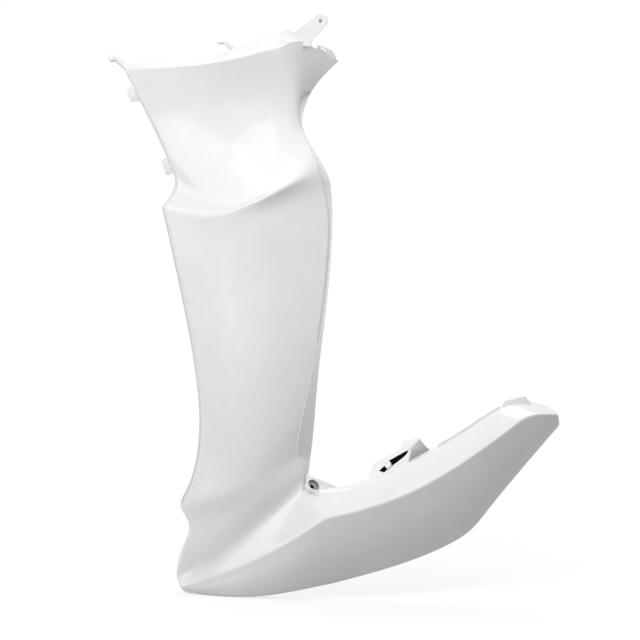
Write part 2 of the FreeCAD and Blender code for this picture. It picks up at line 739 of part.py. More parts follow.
panel = fused("side_panel", pieces)
doc.recompute()

for thing in doc.Objects:
    if "Invalid" in thing.State or "Error" in thing.State:
        raise RuntimeError(thing.Name + " did not build")
if panel.Shape.isNull() or not panel.Shape.isValid() or len(panel.Shape.Solids) != 1:
    raise RuntimeError("the panel is not one valid solid: %d" % len(panel.Shape.Solids))
reach = FreeCAD.BoundBox(panel.Shape.BoundBox)
reach.enlarge(0.01)
if not all(reach.isInside(piece.Shape.BoundBox) for piece in pieces):
    raise RuntimeError("a fixing is missing from the panel")
os.makedirs("parts", exist_ok=True)
panel.Shape.Solids[0].exportStep("parts/side_panel.step")
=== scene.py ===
import math

import bmesh
import bpy
import numpy as np
from mathutils import Matrix, Vector


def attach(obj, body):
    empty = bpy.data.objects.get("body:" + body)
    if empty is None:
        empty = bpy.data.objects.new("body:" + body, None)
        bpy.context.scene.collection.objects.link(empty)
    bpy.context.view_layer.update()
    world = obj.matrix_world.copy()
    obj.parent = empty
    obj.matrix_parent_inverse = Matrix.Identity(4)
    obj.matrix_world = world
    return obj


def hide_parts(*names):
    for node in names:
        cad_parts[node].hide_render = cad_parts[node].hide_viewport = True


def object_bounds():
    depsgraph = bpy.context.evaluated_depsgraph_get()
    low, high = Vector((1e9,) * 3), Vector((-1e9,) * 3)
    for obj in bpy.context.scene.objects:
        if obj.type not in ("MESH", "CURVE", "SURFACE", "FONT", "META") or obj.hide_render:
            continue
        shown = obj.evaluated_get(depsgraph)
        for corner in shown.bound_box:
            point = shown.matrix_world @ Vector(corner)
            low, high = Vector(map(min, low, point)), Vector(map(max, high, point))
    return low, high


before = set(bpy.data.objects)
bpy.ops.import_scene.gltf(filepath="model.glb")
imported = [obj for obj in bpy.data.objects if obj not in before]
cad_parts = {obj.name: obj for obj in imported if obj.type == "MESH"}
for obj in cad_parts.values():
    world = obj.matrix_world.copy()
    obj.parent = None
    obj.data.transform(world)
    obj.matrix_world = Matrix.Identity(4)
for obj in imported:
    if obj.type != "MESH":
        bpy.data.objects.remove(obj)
cad_box = [list(corner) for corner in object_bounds()]

# The moulding: one gloss white ABS shell, 2.5 mm thick, pulled from a two-part tool.
# Wing, leg and foot are one skin; every free edge rolls over and runs back as a return.
# The part's sizes are in millimetres, in its own frame.
MM = 0.001
WALL = 2.5
EDGE_ROLL = 3.5
FRONT_RUN = (-3, 13, 0)
SILL_RUN = (0, 14, 1)
SEAT_RUN = (0, 12, 1)
LIP_RUN, LIP_RISE_FRONT, LIP_RISE_REAR, LIP_SWEEP = 12, 3, 22, 4
RIDGE_ROLL, RIDGE_SHARE_UP, RIDGE_SHARE_DOWN, BAND_BULGE = 6, 0.4, 0.25, 1.5
BELLY, BELLY_DROP, BELLY_HIGH, BELLY_LOW, BELLY_LOW_SHARE = 5, 60, 0.4, 0.72, 0.8
HUMP_POWER, MITRE_STEADY = 2.4, 0.03

# Sections of the wing and the leg: front point, rear point, run of the rear return,
# roll of the front and rear edges, outward crown and downward sag.
# A crown or a sag is its greatest value and where that is, or its values along the section.
SECTIONS = {
    "wing_top": ((-227, 42, 506), (-19, -20, 542), (51, 40, -28), (3.5, 17), (4, 9.5, 14.5, 15.5, 9.2),
                 (12, 0.58)),
    "wing_high": ((-207.5, 42, 467), (-16, -12, 496), (23, 25, -4), (3.5, 12), (2, 5, 5.5, 4.5, 2),
                  (7, 0.45)),
    "wing_mid": ((-186, 40, 427), (-18, -6, 464), (8, 32, 0), (3.5, 7), (1.5, 4, 6, 7, 4), (6, 0.45)),
    "wing_low": ((-172, 38, 392), (-13, -7, 432), (-1, 30, 0), (3.5, 4.5), (4.5, 13.4, 22.5, 23.6, 15.5),
                 (17, 44, 47, 37, 25)),
    "ridge": ((-158.5, 36, 365), (6, -22, 403), (1, 30, 0), (3.5, 3.5), (5.6, 16.8, 27, 27.2, 15.8),
              (15, 37, 39, 29, 15)),
    "brow": ((-176.4, 29.5, 342), (10, -26, 379), (12, 26, -4), (3.5, 3.5), (2, 13, 23.2, 24.3, 13.7),
             (3.7, 18.6, 18.5, 8.4, -4.6)),
    "undercut": ((-180, 28, 337), (17, -21, 359), (6, 26, 0), (3.5, 3.5), (3.1, 13.2, 23.2, 13.5, 5.2),
                 (3.2, 18, 16, 5, -6)),
    "thigh": ((-178.2, 29, 331), (23, -20, 321), (3, 25, 0), (4, 3.5), (3.2, 14, 22.5, 16.5, 5.6),
              (6, 14, 13, 7.8, 2.8)),
    "knee": ((-156, 26, 228), (16, -20, 234), (4, 25, 0), (8, 3.5), (18, 0.5), (0, 0.45)),
    "shin": ((-139, 17, 141), (1, -18, 143), (6, 24, 0), (8, 2.5), (16, 0.5), (0, 0.45)),
    "ankle": ((-132, 12, 62), (-17, -8, 64), (19, 20, 0), (8, 2), (16, 0.58), (0, 0.45)),
    "heel_top": ((-146, 13, -7), (-19, 0, 40), (17, 15, -5), (5, 2), (17, 0.6), (3, 0.45)),
    "heel": ((-167, 22, -31), (-14, 2, 32), (11, 12, -4), (3.5, 3.5), (8, 15.4, 20.5, 17.9, 9.3),
             (4, 0.45)),
    "instep": ((-142, 15, -51), (-10, 2, 23), (7, 11, 0), (3.5, 3.5), (15, 0.6), (3, 0.45)),
    "toe_top": ((-160, 22, -88), (-9, 3, 13), (4, 12, 0), (3.5, 3.5), (4, 10.5, 14, 13.4, 6.9),
                (3, 0.45)),
    "valley_top": ((-165, 25, -106), (-9, 4, 4), (3, 12, 0), (3.5, 3.5), (6, 13, 16, 13, 6),
                   (2, 0.45)),
    "valley": ((-167, 28, -120), (-9, 1, -4), (2, 12, 0), (3.5, 3.5), (2, 4.5, 3.5, 1.5, 0), (2, 0.45)),
}
# Lines of the foot: the toe's ridge and sill, then seat, crest and sill from the crease to the tip.
TOE_RIDGE = ((-163, 19, -131), (-2.5, -5.5, -3.5, 0.5, 2.5), (13, 0.45))
TOE_SILL = ((-157, 23, -138), (7, 0.5), (10, 0.45))
SEAT = [(27, -13.5, -6), (80, -13, 11), (131, -11, 37), (185, -7, 68), (226, -4, 98), (252, 0, 105),
        (281, 4, 98)]
CREST = [(17, -40, -30), (45, -44, -23), (95, -46, -9), (150, -46, 19), (205, -41, 55), (247, -34, 86),
         (264, -28, 97), (297, -14, 91)]
SILL = [(25, -6, -120), (75, -6, -107), (130, -4, -90), (180, 1, -67), (199, 4, -52), (214, 7, -31),
        (258, 9, 23), (301, 9, 74)]
SPREAD = (0.0, 0.1, 0.28, 0.5, 0.72, 0.9, 1.0)
CREASE = (-11, -10, -14)
VALLEY_ROUND, VALLEY_EASE = 14, (0, 0.4, 0.6, 0.7, 0.6, 0.4, 0)

points = []


def new_id(p):
    """Number of a new control point."""
    points.append(np.array(p, float))
    return len(points) - 1


def unit(v):
    """The vector at a length of one."""
    return np.asarray(v, float) / np.linalg.norm(v)


def hump(s, at):
    """Rises from 0 at both ends to 1 at the fraction AT."""
    if s <= 0 or s >= 1:
        return 0.0
    return (s / at) ** (HUMP_POWER * at) * ((1 - s) / (1 - at)) ** (HUMP_POWER * (1 - at))


def bow_values(bow):
    """A crown or a sag at each control point of a section."""
    if len(bow) == len(SPREAD) - 2:
        return (0, *bow, 0)
    top, at = bow
    return [top * hump(s, at) for s in SPREAD]


def bowed(start, end, crown, sag):
    """Control points of a section line, bowed outboard by its crown and downward by its sag."""
    start, end = np.array(start, float), np.array(end, float)
    bows = zip(SPREAD, bow_values(crown), bow_values(sag))
    return [start + (end - start) * s - np.array((0, out, fall)) for s, out, fall in bows]


def foot_column(top, crest, sill):
    """Control points from the seat line over the rolled ridge and down the belly to the sill."""
    top, crest, sill = (np.array(p, float) for p in (top, crest, sill))
    up, down = top - crest, sill - crest
    out = unit(np.cross(sill - top, (1, 0, 0)))
    belly = out * BELLY * min(1.0, np.linalg.norm(down) / BELLY_DROP)
    return [(top + crest) / 2 + out * BAND_BULGE,
            crest + unit(up) * min(RIDGE_ROLL, np.linalg.norm(up) * RIDGE_SHARE_UP),
            crest,
            crest + unit(down) * min(RIDGE_ROLL, np.linalg.norm(down) * RIDGE_SHARE_DOWN),
            crest + down * BELLY_HIGH + belly,
            crest + down * BELLY_LOW + belly * BELLY_LOW_SHARE,
            sill]


upper = [[new_id(p) for p in bowed(f, r, crown, sag)] for f, r, _, _, crown, sag in SECTIONS.values()]
rear_runs = [section[2] for section in SECTIONS.values()]
rolls = {"front": [section[3][0] for section in SECTIONS.values()],
         "rear": [section[3][1] for section in SECTIONS.values()]}
toe_crest = bowed(TOE_RIDGE[0], CREST[0], *TOE_RIDGE[1:])
toe_sill = bowed(TOE_SILL[0], SILL[0], *TOE_SILL[1:])
toe_columns = [foot_column(points[k], toe_crest[j], toe_sill[j]) for j, k in enumerate(upper[-1])]
toe = [list(upper[-1])] + [[] for _ in toe_columns[0]]
for toe_column in toe_columns:
    for i, p in enumerate(toe_column):
        toe[i + 1].append(new_id(p))
points[toe[1][-1]] = np.array(CREASE, float)
# The valley is filleted: its two neighbouring rows and the row itself come to lie on one line.
for j, ease in enumerate(VALLEY_EASE):
    above, low, below = upper[-2][j], upper[-1][j], toe[1][j]
    if ease:
        up, down = (unit(points[k] - points[low]) * VALLEY_ROUND * ease for k in (above, below))
        points[above], points[below] = points[low] + up, points[low] + down
        points[low] = points[low] + (up + down) / 2
foot = [[row[-1]] for row in toe]
for top, crest, sill in zip(SEAT, CREST[1:], SILL[1:]):
    foot[0].append(new_id(top))
    for i, p in enumerate(foot_column(top, crest, sill)):
        foot[i + 1].append(new_id(p))


def column(net, j):
    """One column of a field's control points."""
    return [row[j] for row in net]


# Rolled free edges and returns, edge by edge: the edge's own control points and those beside them.
edges = {
    "lip": (upper[0], upper[1]),
    "rear": (column(upper, -1), column(upper, -2)),
    "seat": (foot[0], foot[1]),
    "tip": (column(foot, -1), column(foot, -2)),
    "sill": (foot[-1], foot[-2]),
    "toe_sill": (toe[-1], toe[-2]),
    "toe": (column(toe, 0), column(toe, 1)),
    "front": (column(upper, 0), column(upper, 1)),
}
lip_steps = np.linspace(0, 1, len(SPREAD) - 1)
lip_rises = LIP_RISE_FRONT + (LIP_RISE_REAR - LIP_RISE_FRONT) * lip_steps ** LIP_SWEEP


def return_run(edge, i):
    """Way that an edge's return runs back from its control point I."""
    if edge == "lip":
        return (0, LIP_RUN, lip_rises[i])
    if edge == "rear":
        return rear_runs[i]
    return {"seat": SEAT_RUN, "front": FRONT_RUN}.get(edge, SILL_RUN)


outward, runs, radii = {}, {}, {}
for edge, (line, inside) in edges.items():
    for i, (k, m) in enumerate(zip(line, inside)):
        roll = rolls[edge][i] if edge in rolls else EDGE_ROLL
        outward.setdefault(k, []).append(unit(points[k] - points[m]) * roll)
        # The wing's rear top corner runs back with the rear edge alone.
        if edge == "lip" and i == len(line) - 1:
            continue
        runs.setdefault(k, []).append(np.array(return_run(edge, i), float))
        radii.setdefault(k, []).append(roll)
corner, roll_end, return_end = {}, {}, {}
for k, ways in outward.items():
    back = sum(runs[k]) / len(runs[k])
    c = points[k].copy()
    points[k] = c - sum(ways)
    corner[k] = new_id(c)
    roll_end[k] = new_id(c + unit(back) * sum(radii[k]) / len(radii[k]))
    return_end[k] = new_id(c + back)

nets = [upper, toe, foot]
rims = []
for edge, (line, _) in edges.items():
    strip = [list(line)] + [[ids[k] for k in line] for ids in (corner, roll_end, return_end)]
    rolled, straight = strip[:3], strip[2:]
    # Strips are turned so that all of them face outward, as the fields do.
    if edge in ("lip", "seat", "toe", "front"):
        rolled, straight = rolled[::-1], straight[::-1]
    if edge in ("rear", "tip", "toe", "front"):
        rolled, straight = [list(ids) for ids in zip(*rolled)], [list(ids) for ids in zip(*straight)]
    nets += [rolled, straight]
    rims.append(strip[3])

# The inner skin: every control point one wall inside all the facets around it.
facets = {}
for net in nets:
    for i in range(len(net) - 1):
        for j in range(len(net[0]) - 1):
            ids = (net[i][j], net[i + 1][j], net[i + 1][j + 1], net[i][j + 1])
            a, b, c, d = (points[k] for k in ids)
            for k in ids:
                facets.setdefault(k, []).append(unit(np.cross(c - a, d - b)))
inner = []
for k, p in enumerate(points):
    n = np.array(facets[k])
    aim = n.sum(axis=0) * (1 + MITRE_STEADY / len(n))
    inner.append(p - WALL * np.linalg.solve(n.T @ n + MITRE_STEADY * np.eye(3), aim))


def spline_basis(count, per_span):
    """Weights of COUNT control points along a clamped uniform B-spline, PER_SPAN steps to a span."""
    degree = min(3, count - 1)
    spans = count - degree
    knots = np.array([0] * degree + list(range(spans + 1)) + [spans] * degree, float)
    t = np.linspace(0, spans, spans * per_span + 1)
    b = np.zeros((len(t), len(knots) - 1))
    b[np.arange(len(t)), np.minimum(t.astype(int), spans - 1) + degree] = 1
    for d in range(1, degree + 1):
        raised = np.zeros((len(t), len(knots) - 1 - d))
        for i in range(raised.shape[1]):
            if knots[i + d] > knots[i]:
                raised[:, i] += (t - knots[i]) / (knots[i + d] - knots[i]) * b[:, i]
            if knots[i + d + 1] > knots[i + 1]:
                raised[:, i] += (knots[i + d + 1] - t) / (knots[i + d + 1] - knots[i + 1]) * b[:, i + 1]
        b = raised
    return b


# Mesh steps to a span, by the number of control points along it.
STEPS = {17: 11, 8: 9, 7: 15, 3: 8, 2: 2}
SEAM, SHARP_SKIN = 0.02, 35


def skin_grid(ids, side):
    """Surface points, in metres, of one patch of control points."""
    control = np.array([[side[k] for k in row] for row in ids])
    across = spline_basis(control.shape[0], STEPS[control.shape[0]])
    along = spline_basis(control.shape[1], STEPS[control.shape[1]])
    return np.einsum("ai,ijx,bj->abx", across, control, along) * MM


def add_grid(bm, grid, flip=False):
    """Adds the faces of a grid of points."""
    rows = [[bm.verts.new(p) for p in row] for row in grid]
    for i in range(len(rows) - 1):
        for j in range(len(rows[0]) - 1):
            quad = [rows[i][j], rows[i + 1][j], rows[i + 1][j + 1], rows[i][j + 1]]
            bm.faces.new(quad[::-1] if flip else quad)


def finished(name, bm, material, sharp=SHARP_SKIN):
    """A smooth-shaded piece of the moulding, sharp only where its faces meet at a corner."""
    mesh = bpy.data.meshes.new(name)
    for edge in bm.edges:
        edge.smooth = len(edge.link_faces) == 2 and edge.calc_face_angle(0) < math.radians(sharp)
    for face in bm.faces:
        face.smooth = True
    bm.to_mesh(mesh)
    bm.free()
    mesh.materials.append(material)
    piece = bpy.data.objects.new(name, mesh)
    bpy.context.collection.objects.link(piece)
    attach(piece, "root")
    return piece


CLEAN, DUST, DEEP_SHADE = (1, 1, 1), (0.86, 0.855, 0.85), (0.035, 0.035, 0.04)
PLASTIC, COOL_PLASTIC, MOTTLE = (0.85, 0.85, 0.85), (0.815, 0.82, 0.825), (0.975, 0.975, 0.975)
GLOSS, PEEL_STRENGTH, PEEL_DEPTH, PLASTIC_IOR = (0.09, 0.15), 0.035, 0.0006, 1.52


def gloss_white():
    """Gloss white moulded plastic: a faint cloudiness, fine dust specks and a trace of orange peel.
    The walls of its slots and bores, marked by an attribute, are painted near black as painted shade."""
    material = bpy.data.materials.new("gloss_white_plastic")
    material.use_nodes = True
    nodes, links = material.node_tree.nodes, material.node_tree.links
    shader = nodes["Principled BSDF"]
    where = nodes.new("ShaderNodeTexCoord")

    def noise(scale, detail, rough=0.5):
        node = nodes.new("ShaderNodeTexNoise")
        node.inputs["Scale"].default_value = scale
        node.inputs["Detail"].default_value = detail
        node.inputs["Roughness"].default_value = rough
        links.new(where.outputs["Object"], node.inputs["Vector"])
        return node.outputs["Fac"]

    def ramp(source, stops):
        node = nodes.new("ShaderNodeValToRGB")
        for element, (at, colour) in zip(node.color_ramp.elements, stops):
            element.position = at
            element.color = (*colour, 1)
        links.new(source, node.inputs["Fac"])
        return node.outputs["Color"]

    def times(a, b):
        node = nodes.new("ShaderNodeMix")
        node.data_type = "RGBA"
        node.blend_type = "MULTIPLY"
        node.inputs["Factor"].default_value = 1
        links.new(a, node.inputs["A"])
        links.new(b, node.inputs["B"])
        return node.outputs["Result"]

    cloud = ramp(noise(9, 3), ((0.35, COOL_PLASTIC), (0.65, PLASTIC)))
    mottle = ramp(noise(70, 4, 0.6), ((0.3, MOTTLE), (0.7, CLEAN)))
    specks = ramp(noise(420, 2), ((0.70, CLEAN), (0.78, DUST)))
    # Painted shade: the walls of slots and bores are darkened towards near black, as if deep in shadow.
    walls = nodes.new("ShaderNodeAttribute")
    walls.attribute_name = "recess"
    shaded = ramp(walls.outputs["Fac"], ((0, CLEAN), (1, DEEP_SHADE)))
    links.new(times(times(times(cloud, mottle), specks), shaded), shader.inputs["Base Color"])
    rough = nodes.new("ShaderNodeMapRange")
    rough.inputs["To Min"].default_value, rough.inputs["To Max"].default_value = GLOSS
    links.new(noise(28, 4), rough.inputs["Value"])
    links.new(rough.outputs["Result"], shader.inputs["Roughness"])
    peel = nodes.new("ShaderNodeBump")
    peel.inputs["Strength"].default_value = PEEL_STRENGTH
    peel.inputs["Distance"].default_value = PEEL_DEPTH
    links.new(noise(260, 2), peel.inputs["Height"])
    links.new(peel.outputs["Normal"], shader.inputs["Normal"])
    shader.inputs["IOR"].default_value = PLASTIC_IOR
    return material


white = gloss_white()
bm = bmesh.new()
for net in nets:
    add_grid(bm, skin_grid(net, points))
    add_grid(bm, skin_grid(net, inner), flip=True)
for rim in rims:
    along = spline_basis(len(rim), STEPS[len(rim)])
    lines = [along @ np.array([side[k] for k in rim]) * MM for side in (points, inner)]
    add_grid(bm, np.array(lines))
bmesh.ops.remove_doubles(bm, verts=bm.verts, dist=SEAM * MM)
bmesh.ops.recalc_face_normals(bm, faces=bm.faces)
shell = finished("moulded_shell", bm, white)
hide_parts("side_panel")

# Ribs: thin webs moulded across the back of the skin, and the low rail along the seat line.
# Each follows a line of the skin; the webs are 1.8 mm thick, so that they don't show on the face.
RIB_WALL, RIB_HEIGHT, BITE, WEB_SEAM = 1.8, 9, 1.25, 0.01
RIBS_ACROSS = (1.2, 6.6, 7.5, 8.5)
RIBS_DOWN = (0.9, 2.0, 3.0)
RAIL_WALL, RAIL_HEIGHT, RAIL_INSET, RAIL_SPAN = 2.5, 3.5, 3.5, (2.4, 4.05)
FINE_STEPS, ACROSS_STEPS, DOWN_STEPS, RAIL_STEPS, RAIL_SKIP = 200, 12, 10, 100, 4


def spline_at(count, t):
    """Weights of COUNT control points at one place on a clamped uniform B-spline."""
    return spline_basis(count, FINE_STEPS)[int(round(t * FINE_STEPS))]


def new_tree(name, sizes, ways=()):
    """Empty node tree that takes a line, named sizes, named directions and a material."""
    tree = bpy.data.node_groups.new(name, "GeometryNodeTree")
    sockets = [("Geometry", "Geometry")] + [(size, "Float") for size in sizes]
    sockets += [(way, "Vector") for way in ways] + [("Material", "Material")]
    for label, kind in sockets:
        tree.interface.new_socket(label, in_out="INPUT", socket_type="NodeSocket" + kind)
    tree.interface.new_socket("Geometry", in_out="OUTPUT", socket_type="NodeSocketGeometry")
    return tree, tree.nodes.new("NodeGroupInput")


def end_tree(tree, given, made):
    """Ends a node tree: what it made becomes one painted mesh."""
    nodes, links = tree.nodes, tree.links
    real = nodes.new("GeometryNodeRealizeInstances")
    links.new(made, real.inputs["Geometry"])
    paint = nodes.new("GeometryNodeSetMaterial")
    links.new(real.outputs["Geometry"], paint.inputs["Geometry"])
    links.new(given.outputs["Material"], paint.inputs["Material"])
    links.new(paint.outputs["Geometry"], nodes.new("NodeGroupOutput").inputs["Geometry"])
    return tree


def grown(name, lines, tree, values):
    """Mesh that a node tree grows on a set of lines, which are in metres."""
    curve = bpy.data.curves.new(name + "_lines", "CURVE")
    curve.dimensions = "3D"
    for line in lines:
        spline = curve.splines.new("POLY")
        spline.points.add(len(line) - 1)
        for point, p in zip(spline.points, line):
            point.co = (*p, 1)
    source = bpy.data.objects.new(name + "_lines", curve)
    bpy.context.collection.objects.link(source)
    modifier = source.modifiers.new("grow", "NODES")
    modifier.node_group = tree
    for item in tree.interface.items_tree:
        if item.in_out == "INPUT" and item.name in values:
            modifier[item.identifier] = values[item.name]
    result = source.evaluated_get(bpy.context.evaluated_depsgraph_get())
    mesh = bpy.data.meshes.new_from_object(result)
    source.modifiers.clear()
    bpy.data.objects.remove(source)
    bm = bmesh.new()
    bm.from_mesh(mesh)
    return bm


def web_tree():
    """Node tree that stands a web of set height and thickness on every curve it is given."""
    tree, given = new_tree("moulded_web", ("Height", "Thickness"), ("Rise", "Side"))
    nodes, links = tree.nodes, tree.links
    line = nodes.new("GeometryNodeCurveToMesh")
    links.new(given.outputs["Geometry"], line.inputs["Curve"])

    def scaled(vector, amount, factor=1.0):
        """A direction of the web times one of its sizes, and times a factor."""
        node = nodes.new("ShaderNodeVectorMath")
        node.operation = "SCALE"
        links.new(given.outputs[vector], node.inputs[0])
        links.new(given.outputs[amount], node.inputs["Scale"])
        if factor == 1.0:
            return node.outputs[0]
        again = nodes.new("ShaderNodeVectorMath")
        again.operation = "SCALE"
        again.inputs["Scale"].default_value = factor
        links.new(node.outputs[0], again.inputs[0])
        return again.outputs[0]

    start = nodes.new("GeometryNodeSetPosition")
    links.new(line.outputs["Mesh"], start.inputs["Geometry"])
    links.new(scaled("Side", "Thickness", -0.5), start.inputs["Offset"])
    up = nodes.new("GeometryNodeExtrudeMesh")
    up.mode = "EDGES"
    links.new(start.outputs["Geometry"], up.inputs["Mesh"])
    links.new(scaled("Rise", "Height"), up.inputs["Offset"])
    up.inputs["Offset Scale"].default_value = 1
    thick = nodes.new("GeometryNodeExtrudeMesh")
    thick.mode = "FACES"
    thick.inputs["Individual"].default_value = False
    thick.inputs["Offset Scale"].default_value = 1
    links.new(up.outputs["Mesh"], thick.inputs["Mesh"])
    links.new(scaled("Side", "Thickness"), thick.inputs["Offset"])
    back = nodes.new("GeometryNodeFlipFaces")
    links.new(up.outputs["Mesh"], back.inputs["Mesh"])
    both = nodes.new("GeometryNodeJoinGeometry")
    links.new(thick.outputs["Mesh"], both.inputs["Geometry"])
    links.new(back.outputs["Mesh"], both.inputs["Geometry"])
    merged = nodes.new("GeometryNodeMergeByDistance")
    links.new(both.outputs["Geometry"], merged.inputs["Geometry"])
    merged.inputs["Distance"].default_value = WEB_SEAM * MM
    return end_tree(tree, given, merged.outputs["Geometry"])


WEB = web_tree()


def webs(name, lines, rise, side, height, thickness):
    """Webs on a set of lines, as one plain mesh."""
    bm = grown(name, lines, WEB, {"Height": height * MM, "Thickness": thickness * MM, "Rise": rise,
                                  "Side": side, "Material": white})
    bmesh.ops.recalc_face_normals(bm, faces=bm.faces)
    return finished(name, bm, white)


inside_upper = np.array([[inner[k] for k in row] for row in upper])
inside_foot = np.array([[inner[k] for k in row] for row in foot])
bite = np.array((0, -BITE, 0))
along_section, along_column = spline_basis(len(SPREAD), ACROSS_STEPS), spline_basis(len(foot), DOWN_STEPS)
across = [(np.einsum("i,ijx,bj->bx", spline_at(len(upper), t), inside_upper, along_section) + bite) * MM
          for t in RIBS_ACROSS]
webs("ribs_across", across, (0, 1, 0), (0, 0, 1), RIB_HEIGHT + BITE, RIB_WALL)
down = [(np.einsum("ai,ijx,j->ax", along_column, inside_foot, spline_at(len(foot[0]), t)) + bite) * MM
        for t in RIBS_DOWN]
webs("ribs_down", down, (0, 1, 0), (1, 0, 0), RIB_HEIGHT + BITE, RIB_WALL)
seat_line = spline_basis(len(foot[0]), RAIL_STEPS) @ np.array([points[corner[k]] for k in foot[0]])
start, end = (int(t * RAIL_STEPS) for t in RAIL_SPAN)
rail = (seat_line[start:end + 1:RAIL_SKIP] + np.array((0, RAIL_INSET + RAIL_WALL / 2, -WALL))) * MM
webs("seat_rail", [rail], (0, 0, 1), (0, 1, 0), RAIL_HEIGHT + WALL, RAIL_WALL)

# Screw lug: a three-cornered plate between leg and foot, with a recessed cup for the screw's head
# and a sleeve behind it. It is moulded in one with the shell.
LUG_TILT, LUG_YAW = 41, 40
LUG = [(-7, -4), (-7, 6), (-2, 16), (15.4, 4), (33.7, -9.1), (43.7, -14.3), (16.5, -24), (-1, -18)]
LUG_WALL, RECESS, CUP, SLEEVE, SCREW = 3, (7.5, 4), (9.2, 0.3, 3), (5.5, 18), 2.75
# Painted shade on the walls of the cup's recess and of the screw bore, lighter in the recess.
LUG_SHADE, OPENINGS = (0.6, 1), 2
ROD_SIDES, BORE_SIDES, SHARP_FIXING, SOFT_ANGLE, SOFT_WIDTH = 40, 28, 30, 40, 0.35


def plate(outline, thickness, place, front=0.0):
    """Mesh of a flat plate: an outline in the local XZ plane, running inboard along local Y."""
    bm = bmesh.new()
    face = bm.faces.new([bm.verts.new((u, front, v)) for u, v in outline])
    pushed = bmesh.ops.extrude_face_region(bm, geom=[face])
    bmesh.ops.translate(bm, verts=[v for v in pushed["geom"] if isinstance(v, bmesh.types.BMVert)],
                        vec=(0, thickness, 0))
    bmesh.ops.recalc_face_normals(bm, faces=bm.faces)
    bm.transform(Matrix.Scale(MM, 4))
    bm.transform(place)
    return bm


def rod(radius, front, back, place, at=(0, 0), sides=ROD_SIDES):
    """Mesh of a round rod along local Y, from FRONT to BACK."""
    bm = bmesh.new()
    turn = Matrix.Rotation(math.radians(90), 4, "X")
    middle = Matrix.Translation((at[0], (front + back) / 2, at[1]))
    bmesh.ops.create_cone(bm, cap_ends=True, segments=sides, radius1=radius, radius2=radius,
                          depth=back - front, matrix=middle @ turn)
    bm.transform(Matrix.Scale(MM, 4))
    bm.transform(place)
    return bm


def scratch_object(bm, wall_of=0):
    """Helper for the cuts; its faces carry the number of the opening that they are the walls of."""
    mesh = bpy.data.meshes.new("scratch")
    for face in bm.faces:
        face.material_index = wall_of
    bm.to_mesh(mesh)
    bm.free()
    for _ in range(OPENINGS + 1):
        mesh.materials.append(white)
    scratch = bpy.data.objects.new("scratch", mesh)
    bpy.context.collection.objects.link(scratch)
    return scratch


def carved(name, solids, cuts=(), studs=(), bevel=SOFT_WIDTH, shade=(1, 1)):
    """One fixing of the moulding: joins solids, cuts the openings out, adds studs and softens corners.
    SHADE says how dark the walls of each opening are painted, as painted shade."""
    base = scratch_object(solids[0])
    tools = [(bm, "UNION", 0) for bm in solids[1:]]
    tools += [(bm, "DIFFERENCE", i + 1) for i, bm in enumerate(cuts)]
    tools += [(bm, "UNION", 0) for bm in studs]
    helpers = []
    for bm, kind, wall_of in tools:
        helper = scratch_object(bm, wall_of)
        helpers.append(helper)
        join = base.modifiers.new(kind, "BOOLEAN")
        join.operation = kind
        join.solver = "EXACT"
        join.object = helper
    soften = base.modifiers.new("soften", "BEVEL")
    soften.width = bevel * MM
    soften.segments = 2
    soften.limit_method = "ANGLE"
    soften.angle_limit = math.radians(SOFT_ANGLE)
    mesh = bpy.data.meshes.new_from_object(base.evaluated_get(bpy.context.evaluated_depsgraph_get()))
    for scratch in [base] + helpers:
        bpy.data.objects.remove(scratch)
    bm = bmesh.new()
    bm.from_mesh(mesh)
    # The walls of each opening get their painted shade, which darkens their colour as shadow would.
    recess = bm.faces.layers.float.new("recess")
    for face in bm.faces:
        face[recess] = shade[face.material_index - 1] if face.material_index else 0
        face.material_index = 0
    return finished(name, bm, white, SHARP_FIXING)


def set_at(spot, rotation):
    """Place of a fixing, from a spot in millimetres and a turn."""
    return Matrix.Translation(Vector(spot) * MM) @ rotation.to_4x4()


lug_place = set_at((0, 0, 0), Matrix.Rotation(math.radians(LUG_YAW), 3, "Z")
                   @ Matrix.Rotation(math.radians(-LUG_TILT), 3, "X"))
carved("screw_lug",
       [plate(LUG, LUG_WALL, lug_place, -RECESS[1]),
        rod(CUP[0], -RECESS[1] - CUP[1], CUP[2], lug_place),
        rod(SLEEVE[0], 0, SLEEVE[1], lug_place)],
       [rod(RECESS[0], -3 * RECESS[1], 0, lug_place),
        rod(SCREW, -RECESS[1], SLEEVE[1] + RECESS[1], lug_place, sides=BORE_SIDES)], shade=LUG_SHADE)

# Eyelet arm: the top lip runs on into a flat arm with a round end, drilled for a screw.
# A short sleeve behind the eye keeps the screw square.
ARM = [(-34, -6), (-13, 11), (-2, 6), (24, 25.5), (34.5, 13.5), (26, 4), (20, -1), (17, -10), (4, -9)]
ARM_WALL, ARM_INSET, ARM_YAW, ARM_BEVEL = 4, 9, 12, 0.5
EYE, EYE_RADIUS, EYE_BORE, EYE_SLEEVE = (30, 20), 8, 2.3, (5, 18)
wing_corner = SECTIONS["wing_top"][1]
arm_place = set_at((wing_corner[0], wing_corner[1] + ARM_INSET, wing_corner[2]),
                   Matrix.Rotation(math.radians(-ARM_YAW), 3, "Z"))
carved("eyelet_arm",
       [plate(ARM, ARM_WALL, arm_place),
        rod(EYE_RADIUS, 0, ARM_WALL, arm_place, EYE),
        rod(EYE_SLEEVE[0], 0, EYE_SLEEVE[1], arm_place, EYE)],
       [rod(EYE_BORE, -ARM_WALL, EYE_SLEEVE[1] + ARM_WALL, arm_place, EYE, sides=BORE_SIDES)],
       bevel=ARM_BEVEL)

# Locating tabs: two flat tongues moulded on the wing's front return.
# They push in behind the next panel.
TAB_WALL, TAB_BEVEL = 3, 0.9
TABS = {
    "wing_high": [(-10, 18), (-17.5, 12), (-12, -3), (5, -2), (-1, 18)],
    "wing_low": [(-3, 9), (-11, 0.5), (-5, -17), (10, -13), (4, 7)],
}
for section, outline in TABS.items():
    x, y, z = SECTIONS[section][0]
    tab_place = set_at((x, y + FRONT_RUN[1] - TAB_WALL, z), Matrix.Identity(3))
    carved("tab_" + section, [plate(outline, TAB_WALL, tab_place)], bevel=TAB_BEVEL)

